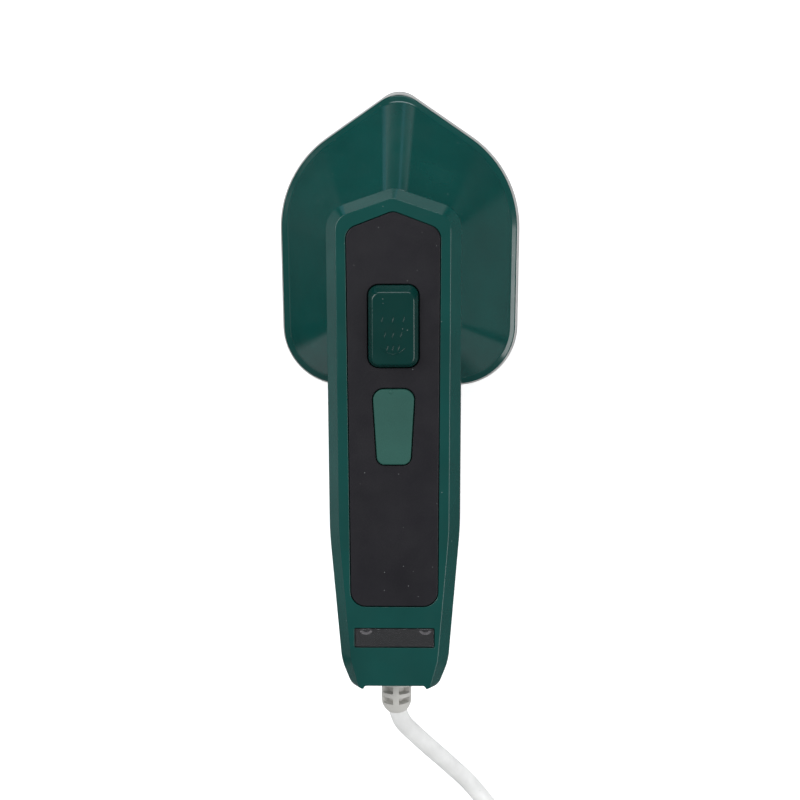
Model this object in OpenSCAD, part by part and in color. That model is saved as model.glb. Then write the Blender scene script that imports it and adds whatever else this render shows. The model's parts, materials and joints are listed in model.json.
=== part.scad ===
// Hand-held garment steamer. Millimetres, +Z up, +Y towards the tip of the soleplate.
// It lies on its soleplate. The origin is the centre of the soleplate's lower face.

/* [Head] */
// Length of the soleplate from its tip to its rear edge
sole_l = 104.6; // [102:0.2:107]
// Width of the soleplate across its shoulders
sole_w = 86.2; // [84:0.2:88]
// Angle of the two front edges behind the tip, from straight across
front_angle = 34.8; // [33:0.2:36]
// How far the green shell stands back from the edge of the soleplate
shell_inset = 0.9; // [0.6:0.1:1.2]
// Wall thickness of the mouldings
wall = 2; // [1.8:0.1:2.2]

/* [Handle] */
// Width of the handle at its front
handle_w = 45.6; // [44:0.2:47]
// How far the handle's rear end is behind the soleplate's centre
handle_rear = 151.3; // [150.8:0.1:152]
// Height of the handle's underside above the surface
grip_z = 37; // [36.5:0.5:37.5]
// Height of the joint between the two handle shells
parting_z = 50; // [49.8:0.1:50.2]
// Height of the handle's top face
top_z = 62.7; // [62.4:0.1:63]
// Width of the chamfer round the top face, seen from above
chamfer_w = 3.5; // [3:0.1:4]

/* [Controls] */
// Travel of the steam button
steam_travel = 3.5; // [3:0.5:3.5]
// Travel of the on/off button
power_travel = 0.8; // [0.4:0.1:0.8]
// Gap round a button in the grip panel
button_gap = 0.35; // [0.3:0.05:0.4]

/* [Cord] */
// Diameter of the mains cord
cord_d = 6.2; // [6:0.1:6.4]
// Radius at the middle of the coil's turns
coil_r = 34.5; // [34.2:0.1:34.8]

/* [Hidden] */
$fn = 48;

eps = 0.1;

// Soleplate and steam chamber
sole_t = 5;
sole_bevel = 1.4;
boss_inset = 13;
boss_top = 12;
pocket_inset = 29;
cover_inset = 22.6;
gasket_t = 0.8;
cover_t = 1.2;
cover_top = boss_top + gasket_t + cover_t;
heater_x = 25.5;
heater_r = 3.2;
heater_z = 8.5;
heater_rear = -33;
heater_front = 2;
heater_pin_top = 22;
steam_hole_r = 1.3;
sole_screw_at = [[0, 34.5], [-13, -35.5], [13, -35.5]];
shell_screw_at = [[0, 26], [-15, -29], [15, -29]];
cover_screw_at = [[-17.3, 2], [17.3, 2], [-17.3, -18], [17.3, -18]];
tray_bottom = 5.3;
tray_top = 17.5;
tray_t = 1.5;

// Head shell
lip_bottom = 7.1;
lip_top = 10.2;
facet_bottom = 11.2;
facet_inset = 3;
neck_z = 44;
shell_tip_r = 11;
neck_points = [[0, 18.9], [20.8, 4.44], [20.3, -34], [-20.3, -34], [-20.8, 4.44]];
neck_radii = [8, 10, 8, 8, 10];

// Handle
neck_rear = -37.4;
side_x = handle_w / 2;
grip_x = 21.9;
handle_points = [
    [0, 17.7], [side_x, 10], [grip_x, -98], [18, -142], [14.2, -handle_rear],
    [-14.2, -handle_rear], [-18, -142], [-grip_x, -98], [-side_x, 10]
];
handle_radii = [7, 9, 120, 20, 5, 5, 20, 120, 9];
rear_edge = 0.4;
recess_x = 10.5;
recess_y = -149.9;
frame_corner_z = 58.4;
ceiling_z = 59.7;
handle_screw_at = [[-12.6, -49.5], [12.6, -49.5], [-11, -141], [11, -141]];
handle_boss_r = 3.2;

// Grip panel, buttons and window
panel_post_at = [[-11.2, -57.6], [11.2, -57.6]];
panel_post_r = 1.4;
panel_t = 1.8;
panel_gap = 0.3;
panel_ledge = 1.8;
panel_points = [[0, 9.6], [15.7, 3.6], [14.5, -122.7], [-14.5, -122.7], [-15.7, 3.6]];
panel_radii = [4, 4.5, 5, 5, 4.5];
flange_top = top_z - panel_t - 0.3;
flange_t = 1.1;
steam_half = 8.35;
steam_front = -14.8;
steam_rear = -42.1;
steam_top = 66.3;
steam_corner_r = 3.4;
steam_top_points = [[7.2, -17.3], [7.2, -41.1], [-7.2, -41.1], [-7.2, -17.3]];
steam_top_r = 2.6;
steam_flange = 1.2;
power_flange = 1.1;
power_points = [[7.1, -49.5], [5.55, -74.8], [-5.55, -74.8], [-7.1, -49.5]];
power_radii = [3.6, 2.6, 2.6, 3.6];
power_top = 63.4;
window_at = [0, -133.5];
window_size = [26.4, 6.1];
led_at = [9.9, -131.8];
led_base_r = 1.5;
led_base_h = 2;
led_dome_r = 1.2;
led_dome_h = 1;

// Pump
pump_at = [0, -24];
pump_r = 7;
pump_bore_r = 5.5;
pump_bottom = 28;
pump_top = 49;
plunger_bottom = pump_bottom + 5.5 + steam_travel;
nipple_r = 1.8;
inlet_z = 31;
pump_floor = 2;
pump_collar = 1.8;
pump_collar_t = 1.6;
outlet_l = 5;
duct_r = 1.1;
valve_r = 1.05;
plunger_head_h = 4;
plunger_rod_r = 2;
delivery_r = 2.9;
suction_r = 1.9;

// Tank and filler
tank_points = [
    [18.4, -56], [18.4, -98], [16, -122], [-16, -122], [-18.4, -98], [-18.4, -56]
];
tank_radii = [3, 60, 3, 3, 60, 3];
tank_bottom = 39.3;
tank_top = 52;
tank_wall = 1.5;
tank_nipple_at = [3, -53, 47];
filler_at = [0, -88];
filler_r = 4.6;
filler_neck_r = 6.4;
filler_seat_r = 6.8;
filler_disc_r = 8;
filler_disc_t = 1.8;
filler_bottom = grip_z - 1.9;

// Electrics
board_z = 53.6;
board_t = 1.4;
board_top = board_z + board_t;
switch_at = [0, -62.6];
switch_rest = 1.9;
switch_size = [6, 6, 3.2];
switch_stem_r = 1.7;
lead_wire_r = 0.8;
terminal_at = [-8, -129, 41];
terminal_size = [16, 5.5, 7];
terminal_hole_at = [[-4, -126.2], [4, -126.2]];
board_post_at = [[-10.2, -126], [10.2, -126]];
board_post_r = 1.6;

// Cord and strain relief
cord_r = cord_d / 2;
mouth_r = 5.35;
cord_z = 44.5;
inner_cord_y = -129.1;
inner_cord_l = 16.3;
clamp_screw_at = [[-6.5, -133], [6.5, -133]];
clamp_post_r = 2.2;
clamp_at = [-9, -134.8, 47.65];
clamp_size = [18, 3.6, 2];
tie_w = 4;
tie_t = 0.8;
relief_route = [
    [0, -145.5, 44.5], [0, -148.2, 44.5], [0, -148.3, 44.5], [0, -151.5, 44.5],
    [-0.1, -155, 44.3], [-0.1, -158.3, 43.6], [0.1, -161.5, 42.5]
];
relief_radii = [5.25, 5.25, 5.1, 5.1, 5.1, 4.9, 3.7];
lead_route = [
    [0.1, -161.5, 42.5], [0.8, -164.5, 41], [1.8, -167.1, 39.1], [3.1, -169.3, 36.8],
    [6, -173.2, 32.3], [9, -177.1, 27.9], [12, -180.9, 23.5], [15.2, -184.8, 19],
    [18.2, -188.7, 14.5], [21.1, -192.4, 10.1], [22.7, -194.4, 8], [24.4, -196.6, 6.3],
    [26.2, -199, 4.9], [28.1, -201.5, 3.9], [30.1, -204.2, 3.3], [32.1, -206.8, 3.1],
    [35.3, -211.3, 3.1], [38.5, -215.9, 3.3], [41.6, -220.3, 3.6], [44.7, -224.8, 3.9]
];
coil_at = [8, -249.5];
coil_turns = 6.344;
coil_out = coil_r + coil_turns * cord_d / 4;
coil_in = coil_r - coil_turns * cord_d / 4;
coil_bottom = tie_t;
coil_top = tie_t + 2 * cord_d;
tail_route = [
    [8, -293.8, 10.1], [3, -293.8, 9.9], [-2, -293.8, 9.5], [-7, -293.8, 8.9],
    [-12, -293.8, 8.2], [-17, -293.8, 7.6], [-21, -293.8, 7.2], [-26, -293.8, 7]
];
tie_angle = 150;
plug_at = [-26, -293.8, 7];
plug_l = 28;
plug_w = 28;
plug_h = 14;
plug_neck_l = 10;
plug_neck_half = 5;
pin_r = 2;
pin_l = 19;
pin_spacing = 19;

// ---- Geometry helpers ----

function unit(v) = v / norm(v);

// Half of the inside angle at p, between its neighbours a and b
function half_angle(a, p, b) = acos(unit(a - p) * unit(b - p)) / 2;

// Arc of radius r that rounds the corner at p of a convex outline, a step every 9 degrees or so
function corner_arc(a, p, b, r) =
    let (
        half = half_angle(a, p, b),
        centre = p + unit(unit(a - p) + unit(b - p)) * r / sin(half),
        from = unit(p + unit(a - p) * r / tan(half) - centre),
        to = unit(p + unit(b - p) * r / tan(half) - centre),
        turn = 180 - 2 * half,
        steps = max(2, ceil(turn / 9))
    )
    [for (i = [0:steps])
        centre + r * (sin(turn * (1 - i / steps)) * from + sin(turn * i / steps) * to) / sin(turn)];

// The outline with each corner rounded to its own radius
function rounded(points, radii) =
    let (n = len(points))
    [for (i = [0:n - 1])
        each corner_arc(points[(i + n - 1) % n], points[i], points[(i + 1) % n], radii[i])];

// A convex outline moved inwards by d, which is outwards where d is negative
function inset(points, d) =
    let (n = len(points))
    [for (i = [0:n - 1])
        let (a = points[(i + n - 1) % n], p = points[i], b = points[(i + 1) % n])
        p + unit(unit(a - p) + unit(b - p)) * d / sin(half_angle(a, p, b))];

function smaller(radii, d) = [for (r = radii) max(r - d, 0.4)];

module plate(points, radii, d, z, h) {
    translate([0, 0, z])
        linear_extrude(h)
            polygon(rounded(inset(points, d), smaller(radii, d)));
}

// Rings of points round a route, joined into one closed tube
function ring(p, along, ref, r, n) =
    let (u = unit(cross(ref, along)), v = cross(along, u))
    [for (i = [0:n - 1]) p + r * cos(360 * i / n) * u + r * sin(360 * i / n) * v];

module sweep(route, radii, ref, n) {
    last = len(route) - 1;
    points = [for (i = [0:last])
        each ring(route[i], unit(route[min(i + 1, last)] - route[max(i - 1, 0)]),
            ref, radii[i], n)];
    sides = [for (i = [0:last - 1], j = [0:n - 1])
        let (a = i * n + j, b = i * n + (j + 1) % n)
        each [[b + n, b, a], [a + n, b + n, a]]];
    start = [for (j = [0:n - 1]) j];
    end = [for (j = [n - 1:-1:0]) last * n + j];
    polyhedron(points, concat([start], sides, [end]));
}

module tube(route, r, ref, n) {
    sweep(route, [for (p = route) r], ref, n);
}

module drill(at, r, z, h) {
    translate([at.x, at.y, z])
        cylinder(r = r, h = h);
}

module screws(at, head_r, head_z, head_h, shank_r, shank_z, shank_h) {
    for (p = at) {
        difference() {
            drill(p, head_r, head_z, head_h);
            translate([p.x, p.y, head_z + (head_z > shank_z ? head_h : 0)])
                cube([head_r, head_r / 4, head_h], center = true);
        }
        drill(p, shank_r, shank_z, shank_h);
    }
}

// ---- Outlines that depend on the driving dimensions ----

tip_r = 9;
shoulder_r = 39;
rear_r = 21.5;
tip_half = 90 - front_angle;
tip_y = sole_l / 2 + tip_r * (1 / sin(tip_half) - 1);
shoulder_y = tip_y - sole_w / 2 * tan(front_angle);
rear_x = sole_w / 2 - 1.5;
head_points = [
    [0, tip_y], [sole_w / 2, shoulder_y], [rear_x, -sole_l / 2],
    [-rear_x, -sole_l / 2], [-sole_w / 2, shoulder_y]
];
head_radii = [tip_r, shoulder_r, rear_r, rear_r, shoulder_r];

module head_plate(d, z, h) {
    plate(head_points, head_radii, d, z, h);
}

// As head_plate, with the blunter tip of the green shell
module shell_plate(d, z, h) {
    translate([0, 0, z])
        linear_extrude(h)
            polygon(rounded(inset(head_points, d),
                concat([shell_tip_r], [for (i = [1:4]) max(head_radii[i] - d, 2)])));
}

module handle_plate(d, z, h) {
    plate(handle_points, handle_radii, d, z, h);
}

// The frame's top face lies inside the chamfer at the sides and front, and reaches the rear end
handle_top_points = [for (p = inset(handle_points, chamfer_w))
    [p.x, p.y < recess_y + wall + chamfer_w ? rear_edge - handle_rear : p.y]];

module neck_plate(d, z, h) {
    plate(neck_points, neck_radii, d, z, h);
}

// ---- Head ----

// The channel that the element lies in, or the space round the element
module element_path(width) {
    translate([0, heater_front, 0])
        rotate_extrude(angle = 180)
            translate([heater_x - width / 2, 0])
                square([width, 10]);
    for (side = [-1, 1])
        translate([side * heater_x - width / 2, heater_rear - heater_r, 0])
            cube([width, heater_front - heater_rear + heater_r, 10]);
}

module steam_holes() {
    for (row = [0:2], k = [-3 + (row == 2 ? 1 : 0):3 - (row == 2 ? 1 : 0)])
        drill([4 * k, 18 - 8 * row - 0.7 * abs(4 * k)], steam_hole_r, -eps, sole_t + 1);
}

module soleplate() {
    color("lightgray")
        difference() {
            union() {
                hull() {
                    head_plate(sole_bevel, 0, eps);
                    head_plate(0, sole_bevel, sole_t - 2 * sole_bevel);
                    head_plate(0.5, sole_t - eps, eps);
                }
                head_plate(boss_inset, sole_t - eps, boss_top - sole_t + eps);
            }
            head_plate(pocket_inset, sole_t, boss_top);
            translate([0, 0, heater_z - heater_r - 0.1])
                element_path(2 * heater_r + 0.2);
            steam_holes();
            for (p = sole_screw_at)
                drill(p, 1.5, 6, boss_top);
            for (p = cover_screw_at)
                drill(p, 1.3, 6, boss_top);
        }
}

module heating_element() {
    color("silver") {
        translate([0, heater_front, heater_z])
            rotate_extrude(angle = 180)
                translate([heater_x, 0])
                    circle(r = heater_r);
        for (side = [-1, 1]) {
            translate([side * heater_x, heater_front, heater_z])
                rotate([90, 0, 0])
                    cylinder(r = heater_r, h = heater_front - heater_rear);
            translate([side * heater_x, heater_rear, heater_z])
                sphere(r = heater_r);
            drill([side * heater_x, heater_rear], 1.6, heater_z, heater_pin_top - heater_z);
        }
    }
}

module chamber_gasket() {
    color("orangered")
        difference() {
            head_plate(cover_inset, boss_top, gasket_t);
            head_plate(pocket_inset, boss_top - eps, gasket_t + 2 * eps);
            for (p = cover_screw_at)
                drill(p, 1.4, boss_top - eps, gasket_t + 2 * eps);
        }
}

module chamber_cover() {
    color("gainsboro")
        difference() {
            union() {
                head_plate(cover_inset, boss_top + gasket_t, cover_t);
                drill(pump_at, nipple_r, cover_top - eps, 8);
            }
            drill(pump_at, duct_r, boss_top, 12);
            for (p = cover_screw_at)
                drill(p, 1.4, boss_top, 4);
        }
}

module cover_screws() {
    color("dimgray")
        screws(cover_screw_at, 2.4, cover_top, 1.4, 1.25, 7, cover_top - 7 + eps);
}

module thermostat() {
    color("tan") {
        drill([0, 6], 6, cover_top, 4);
        drill([0, 6], 4.4, cover_top + 4 - eps, 3);
        for (side = [-1, 1])
            translate([side * 6 - 1.5, 5, cover_top + 4 - eps])
                cube([3, 2, 5]);
    }
}

module thermal_fuse() {
    color("silver")
        translate([-5.5, -8, cover_top + 2])
            rotate([0, 90, 0])
                cylinder(r = 1.9, h = 11);
}

module heat_shield() {
    color("dimgray")
        difference() {
            union() {
                head_plate(1.3, tray_bottom, 1.6);
                hull() {
                    head_plate(5, tray_bottom, 1.6);
                    head_plate(13, tray_top - eps, eps);
                }
            }
            hull() {
                head_plate(6.5, tray_bottom - eps, eps);
                head_plate(14.5, tray_top - tray_t - eps, eps);
            }
            head_plate(31, tray_top - 3, 5);
            drill(pump_at, 4, tray_top - 3, 5);
            for (side = [-1, 1])
                drill([side * heater_x, heater_rear], 3.3, tray_top - 3, 5);
            for (p = concat(sole_screw_at, shell_screw_at))
                drill(p, 1.6, tray_top - 3, 5);
        }
}

module sole_screws() {
    color("dimgray")
        screws(sole_screw_at, 2.6, tray_top, 1.7, 1.45, 8, tray_top - 8 + eps);
}

module shell_screws() {
    color("dimgray")
        screws(shell_screw_at, 2.6, tray_top - tray_t - 1.7, 1.7, 1.25,
            tray_top - tray_t - eps, 8);
}

module facets(d, top) {
    hull() {
        shell_plate(facet_inset + d, facet_bottom - (d > 0 ? 1.2 : 0), 0.02);
        neck_plate(d, top - 0.02, 0.02);
    }
}

module head_shell() {
    color("darkgreen")
        difference() {
            union() {
                hull() {
                    shell_plate(shell_inset, lip_bottom, lip_top - lip_bottom);
                    shell_plate(facet_inset, facet_bottom - 0.02, 0.02);
                }
                facets(0, neck_z);
            }
            difference() {
                union() {
                    shell_plate(shell_inset + wall + 0.2, lip_bottom - eps, lip_top - lip_bottom);
                    facets(wall, neck_z - wall);
                }
                for (p = shell_screw_at)
                    drill(p, 3.2, tray_top + 0.1, neck_z);
            }
            for (p = shell_screw_at)
                drill(p, 1.3, tray_top, 8);
            drill(pump_at, pump_r + 0.2, neck_z - 4, 8);
            drill([12.8, -23], 3, neck_z - 4, 8);
            plate([[15, 6], [15, -13], [-15, -13], [-15, 6]], [4, 4, 4, 4], 0, neck_z - 4, 8);
        }
}

// ---- Handle ----

module rear_recess() {
    translate([-recess_x, -handle_rear - 5, grip_z - 5])
        cube([2 * recess_x, handle_rear + 5 + recess_y, 40]);
}

module cord_mouth() {
    translate([0, recess_y - 5, cord_z])
        rotate([-90, 0, 0])
            cylinder(r = mouth_r, h = 12);
}

module clamp_posts() {
    for (p = clamp_screw_at)
        drill(p, clamp_post_r, grip_z + 1, clamp_at.z - grip_z - 1.05);
}

module lower_outside() {
    hull() {
        handle_plate(6.5, grip_z, eps);
        handle_plate(2.2, grip_z + 2, eps);
        handle_plate(0, grip_z + 6.5, parting_z - grip_z - 6.5);
    }
}

module lower_inside() {
    difference() {
        hull() {
            handle_plate(wall + 6, grip_z + wall, eps);
            handle_plate(wall + 2.2, grip_z + wall + 1.8, eps);
            handle_plate(wall, grip_z + 7, parting_z - grip_z);
        }
        ahead_of(neck_rear - wall, neck_z - 0.4);
    }
}

// The block ahead of y and below z
module ahead_of(y, z) {
    translate([-50, y, z - 50])
        cube([100, 100, 50]);
}

module handle_lower_shell() {
    color("darkgreen")
        difference() {
            union() {
                difference() {
                    lower_outside();
                    lower_inside();
                }
                for (p = handle_screw_at)
                    drill(p, handle_boss_r, grip_z + 1.8, parting_z - grip_z - 1.8);
                clamp_posts();
            }
            ahead_of(neck_rear, neck_z);
            for (p = handle_screw_at) {
                drill(p, 1.45, grip_z, 20);
                drill(p, 2.7, grip_z - eps, 5);
            }
            for (p = clamp_screw_at)
                drill(p, 1.05, grip_z + 4, 10);
            drill(filler_at, filler_seat_r, grip_z - eps, 5);
            cord_mouth();
            rear_recess();
        }
}

module handle_upper_shell() {
    color("darkgreen")
        difference() {
            union() {
                difference() {
                    hull() {
                        handle_plate(0, parting_z, frame_corner_z - parting_z);
                        plate(handle_top_points, smaller(handle_radii, chamfer_w), 0,
                            top_z - 0.02, 0.02);
                    }
                    hull() {
                        handle_plate(wall, parting_z - eps, frame_corner_z - parting_z - 1);
                        handle_plate(chamfer_w + 1.2, ceiling_z - 0.02, 0.02);
                    }
                }
                for (p = handle_screw_at)
                    drill(p, handle_boss_r - 0.2, parting_z, ceiling_z - parting_z + 1);
                for (p = board_post_at)
                    drill(p, board_post_r, board_top, ceiling_z - board_top + eps);
            }
            plate(panel_points, panel_radii, -panel_gap, top_z - panel_t - 0.1, 5);
            plate(panel_points, panel_radii, panel_ledge, ceiling_z - 1, 5);
            window_block(0.25, ceiling_z - 1, top_z + 1);
            for (p = handle_screw_at)
                drill(p, 1.3, parting_z - eps, 7);
            rear_recess();
        }
}

module handle_screws() {
    color("dimgray")
        screws(handle_screw_at, 2.5, grip_z + 3.2, 1.6, 1.25, grip_z + 4.7, 13);
}

module button_hole(points, radii) {
    plate(points, radii, -button_gap, top_z - 5, 10);
}

steam_points = [
    [steam_half, steam_front], [steam_half, steam_rear],
    [-steam_half, steam_rear], [-steam_half, steam_front]
];
steam_radii = [for (p = steam_points) steam_corner_r];
steam_top_radii = [for (p = steam_points) steam_top_r];

module grip_panel() {
    color([0.16, 0.16, 0.17])
        difference() {
            union() {
                plate(panel_points, panel_radii, 0, top_z - panel_t, panel_t);
                for (p = panel_post_at)
                    drill(p, panel_post_r, board_top, top_z - board_top - 1);
            }
            button_hole(steam_points, steam_radii);
            button_hole(power_points, power_radii);
        }
}

module steam_button() {
    color("green") {
        hull() {
            plate(steam_points, steam_radii, 0, flange_top - eps, 3);
            plate(steam_top_points, steam_top_radii, 0, steam_top - eps, eps);
        }
        plate(steam_points, steam_radii, -steam_flange, flange_top - flange_t, flange_t);
    }
}

module pump_plunger() {
    color("whitesmoke") {
        drill(pump_at, pump_bore_r - 0.05, plunger_bottom, plunger_head_h);
        drill(pump_at, plunger_rod_r, plunger_bottom + plunger_head_h - eps,
            flange_top - flange_t - plunger_bottom - plunger_head_h + eps);
    }
}

spring_turns = 5;
spring_wire = 0.45;
spring_low = pump_top + spring_wire + 0.15;
spring_high = flange_top - flange_t - spring_wire - 0.15;
spring_steps = 12;
spring_route = [for (i = [0:spring_turns * spring_steps])
    [pump_at.x + 4.3 * cos(360 * i / spring_steps),
        pump_at.y + 4.3 * sin(360 * i / spring_steps),
        spring_low + (spring_high - spring_low) * i / (spring_turns * spring_steps)]];

module pump_spring() {
    color("silver")
        tube(spring_route, spring_wire, [0, 0, 1], 6);
}

module pump_body() {
    color("white")
        difference() {
            union() {
                drill(pump_at, pump_r, pump_bottom, pump_top - pump_bottom);
                drill(pump_at, pump_r + pump_collar, neck_z, pump_collar_t);
                drill(pump_at, nipple_r, pump_bottom - outlet_l, outlet_l + eps);
                translate([pump_r - 1, pump_at.y, inlet_z])
                    rotate([0, 90, 0])
                        cylinder(r = nipple_r, h = 3);
            }
            drill(pump_at, pump_bore_r, pump_bottom + pump_floor, pump_top);
            drill(pump_at, duct_r, pump_bottom - outlet_l - 1, outlet_l + 5);
            translate([pump_bore_r - 1, pump_at.y, inlet_z])
                rotate([0, 90, 0])
                    cylinder(r = duct_r, h = 6);
        }
}

module duckbill_valves() {
    color("gray") {
        drill(pump_at, valve_r, pump_bottom - 4, 4);
        translate([pump_r - 1, pump_at.y, inlet_z])
            rotate([0, 90, 0])
                cylinder(r = valve_r, h = 2.5);
    }
}

module delivery_tube() {
    color("beige")
        difference() {
            drill(pump_at, delivery_r, cover_top + 0.3, pump_bottom - cover_top - 0.6);
            drill(pump_at, nipple_r + 0.05, cover_top, pump_bottom - cover_top);
        }
}

suction_route = [
    [9, -24, 31], [10.6, -24, 31.2], [12, -23.8, 32.4], [12.7, -23.3, 35], [12.8, -23, 39],
    [12.8, -23.2, 43], [12.6, -25.4, 46], [11.6, -30, 47], [9, -38, 47], [6, -45, 47],
    [4, -50, 47], tank_nipple_at
];

module suction_tube() {
    color("beige")
        tube(suction_route, suction_r, [1, 0.3, 0], 8);
}

module tank_shape(d) {
    hull() {
        plate(tank_points, tank_radii, 6 + d, tank_bottom + d, eps);
        plate(tank_points, tank_radii, d, tank_bottom + 5, tank_top - tank_bottom - 5 - d);
    }
}

module water_tank() {
    color([0.8, 0.85, 0.85])
        difference() {
            union() {
                tank_shape(0);
                drill(filler_at, filler_neck_r, grip_z + 0.4, 4);
                translate(tank_nipple_at)
                    rotate([90, 0, 0])
                        cylinder(r = nipple_r, h = 4);
            }
            tank_shape(tank_wall);
            drill(filler_at, filler_r, grip_z, 6);
            translate(tank_nipple_at + [0, 1, 0])
                rotate([90, 0, 0])
                    cylinder(r = 1, h = 7);
        }
}

module filler_plug() {
    color("darkslategray")
        difference() {
            union() {
                drill(filler_at, filler_disc_r, filler_bottom, filler_disc_t);
                drill(filler_at, filler_r - 0.06, grip_z - 0.2, 5);
                translate([filler_at.x - 3, filler_at.y - 12, filler_bottom])
                    cube([6, 8, 1.4]);
            }
            drill(filler_at, 2.8, grip_z + 1, 5);
        }
}

// ---- Controls and electrics ----

module power_button() {
    color("seagreen") {
        plate(power_points, power_radii, 0, flange_top - eps, power_top - flange_top + eps);
        plate(power_points, power_radii, -power_flange, flange_top - flange_t, flange_t);
    }
}

module switch_plunger() {
    color("black")
        drill(switch_at, switch_stem_r, board_top + switch_rest,
            flange_top - flange_t - board_top - switch_rest - 0.05);
}

module tact_switch() {
    color("silver")
        difference() {
            translate([switch_at.x - switch_size.x / 2, switch_at.y - switch_size.y / 2, board_top])
                cube(switch_size);
            drill(switch_at, switch_stem_r + 0.08, board_top + switch_rest - power_travel - eps, 5);
        }
}

module circuit_board() {
    color("darkgreen") {
        plate([[12.5, -55], [12.5, -134.4], [-12.5, -134.4], [-12.5, -55]],
            [1, 1, 1, 1], 0, board_z, board_t);
        for (k = [0:3])
            translate([-7 + 3.4 * k, -82 - 9 * k, board_top - eps])
                cube([4.5, 6, 1.6 + eps]);
        drill([5, -100], 2.6, board_top - eps, 3.4);
        drill([6, -112], 2, board_top - eps, 3.2);
    }
}

module led(side) {
    color("ghostwhite") {
        drill([side * led_at.x, led_at.y], led_base_r, board_top, led_base_h);
        drill([side * led_at.x, led_at.y], led_dome_r, board_top + led_base_h - eps,
            led_dome_h + eps);
    }
}

module led_left() {
    led(-1);
}

module led_right() {
    led(1);
}

// A block of the window's outline from z low to high, grown all round
module window_block(grow, low, high) {
    translate([window_at.x, window_at.y, (low + high) / 2])
        cube([window_size.x + 2 * grow, window_size.y + 2 * grow, high - low], center = true);
}

module indicator_window() {
    color([0.2, 0.2, 0.2, 0.8])
        difference() {
            union() {
                window_block(0, ceiling_z - 1.2, top_z - 0.1);
                window_block(0.4, ceiling_z - 1.2, ceiling_z - 0.2);
            }
            window_block(-1, ceiling_z - 2, top_z - 1.4);
        }
}

lead_left = [
    [-6, -55.3, 52.75], [-6, -50, 51.8], [-7, -44, 51], [-9.5, -38, 50], [-12, -28, 49],
    [-12.5, -16, 48], [-12.2, -9, 45.6], [-12.3, -6, 42], [-13, -6, 37], [-15, -10, 32],
    [-20, -20, 27.5], [-24, -28, 24.5], [-25.5, -32, 22.9]
];
lead_right = [
    [6, -55.3, 52.75], [6.5, -50, 52], [8, -43, 51.6], [12, -35, 51], [16.2, -26, 50],
    [17, -16, 48.6], [15.6, -9, 46.6], [13.4, -6, 43.5], [13, -5, 39], [14.4, -8, 33],
    [19, -18, 28], [24, -28, 24.5], [25.5, -32, 22.9]
];

module element_leads() {
    color("firebrick") {
        tube(lead_left, lead_wire_r, [1, 0.2, 0], 6);
        tube(lead_right, lead_wire_r, [1, 0.2, 0], 6);
    }
}

module terminal_block() {
    color("ivory")
        difference() {
            translate(terminal_at)
                cube(terminal_size);
            for (p = terminal_hole_at)
                drill(p, 1.5, terminal_at.z + 4, 5);
        }
}

module inner_cord() {
    color("white")
        translate([0, inner_cord_y, cord_z])
            rotate([90, 0, 0])
                cylinder(r = cord_r, h = inner_cord_l);
}

module cord_clamp() {
    color("dimgray")
        difference() {
            translate(clamp_at)
                cube(clamp_size);
            for (p = clamp_screw_at)
                drill(p, 1.2, clamp_at.z - 1, 5);
        }
}

module clamp_screws() {
    color("silver")
        screws(clamp_screw_at, 2, clamp_at.z + clamp_size.z + 0.05, 1.3, 1, grip_z + 5, 7.8);
}

// ---- Cord ----

module strain_relief() {
    color("darkgray")
        sweep(relief_route, relief_radii, [1, 0, 0], 24);
}

module cord_lead() {
    color("white")
        tube(lead_route, cord_r, [1, 0, 0], 12);
}

module tie_band(grow) {
    translate([coil_at.x, coil_at.y, 0])
        rotate([0, 0, tie_angle])
            translate([(coil_out + coil_in) / 2, 0, (coil_top + tie_t) / 2])
                cube([coil_out - coil_in + cord_d + 2 * grow, tie_w, coil_top - tie_t + 2 * grow],
                    center = true);
}

module cord_coil() {
    color("white")
        translate([coil_at.x, coil_at.y, coil_bottom])
            rotate_extrude()
                translate([coil_in - cord_r, 0])
                    square([coil_out - coil_in + cord_d, 2 * cord_d]);
}

module cord_tail() {
    color("white")
        tube(tail_route, cord_r, [0, 1, 0], 12);
}

module cord_tie() {
    color("black")
        difference() {
            tie_band(tie_t);
            translate([coil_at.x, coil_at.y, coil_bottom])
                rotate_extrude()
                    translate([coil_in - cord_r - 0.02, -0.02])
                        square([coil_out - coil_in + cord_d + 0.04, 2 * cord_d + 0.04]);
        }
}

module plug_body() {
    color("white")
        translate(plug_at)
            rotate([0, -90, 0])
                hull() {
                    linear_extrude(eps)
                        polygon(rounded([
                            [plug_neck_half, plug_neck_half], [-plug_neck_half, plug_neck_half],
                            [-plug_neck_half, -plug_neck_half], [plug_neck_half, -plug_neck_half]
                        ], [3, 3, 3, 3]));
                    translate([0, 0, plug_neck_l])
                        linear_extrude(plug_l - plug_neck_l)
                            polygon(rounded([
                                [plug_h / 2, plug_w / 2], [-plug_h / 2, plug_w / 2],
                                [-plug_h / 2, -plug_w / 2], [plug_h / 2, -plug_w / 2]
                            ], [4, 4, 4, 4]));
                }
}

module plug_pins() {
    color("silver")
        for (side = [-1, 1])
            translate([plug_at.x - plug_l, plug_at.y + side * pin_spacing / 2, plug_at.z])
                rotate([0, -90, 0])
                    cylinder(r = pin_r, h = pin_l);
}

soleplate();
heating_element();
chamber_gasket();
chamber_cover();
cover_screws();
thermostat();
thermal_fuse();
heat_shield();
sole_screws();
shell_screws();
head_shell();
handle_lower_shell();
handle_upper_shell();
handle_screws();
grip_panel();
steam_button();
pump_plunger();
pump_spring();
pump_body();
duckbill_valves();
delivery_tube();
suction_tube();
water_tank();
filler_plug();
power_button();
switch_plunger();
tact_switch();
circuit_board();
led_left();
led_right();
indicator_window();
element_leads();
terminal_block();
inner_cord();
cord_clamp();
clamp_screws();
strain_relief();
cord_lead();
cord_coil();
cord_tail();
cord_tie();
plug_body();
plug_pins();
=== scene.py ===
"""Looks of a hand-held garment steamer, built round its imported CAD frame.

Shapes are written in millimetres and turned into metres when a mesh is made.
"""

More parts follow.
